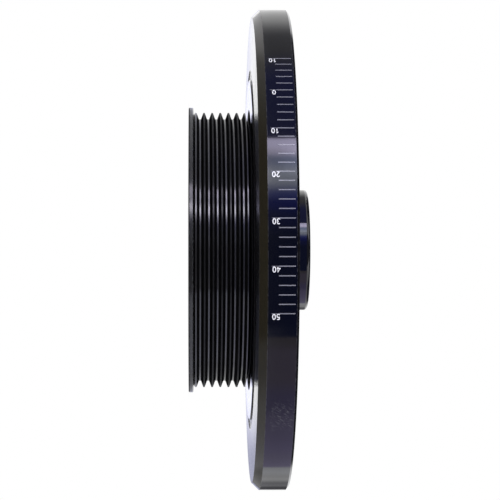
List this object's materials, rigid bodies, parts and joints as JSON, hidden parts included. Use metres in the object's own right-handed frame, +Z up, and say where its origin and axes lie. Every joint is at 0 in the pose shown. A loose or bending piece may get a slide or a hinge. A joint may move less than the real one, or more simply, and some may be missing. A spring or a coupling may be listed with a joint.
{
  "type": "harmonic balancer",
  "caption": "Crankshaft harmonic balancer: hub with rubber-bonded inertia ring, timing scale on the rim and a bolt-on ribbed belt pulley.",
  "frame": {"origin": "centre of the pulley's front face, which the part stands on", "axes": "+Z up along the crank axis, from the pulley towards the hub's nose; the keyway is on +Y"},
  "size_m": [0.2096, 0.2096, 0.052],
  "materials": {
    "pulley_black": "black anodised, satin, turned",
    "hub_black": "black oxide under gloss",
    "rubber": "matt black nitrile rubber",
    "ring_black": "gloss black with engraved pale scale",
    "bolt_steel": "black oxide",
    "washer_steel": "zinc plated"
  },
  "bodies": {
    "root": {"pulley": "pulley_black", "hub": "hub_black", "elastomer_ring": "rubber", "inertia_ring": "ring_black", "pulley_bolts": "bolt_steel", "lock_washers": "washer_steel"}
  },
  "joints": []
}
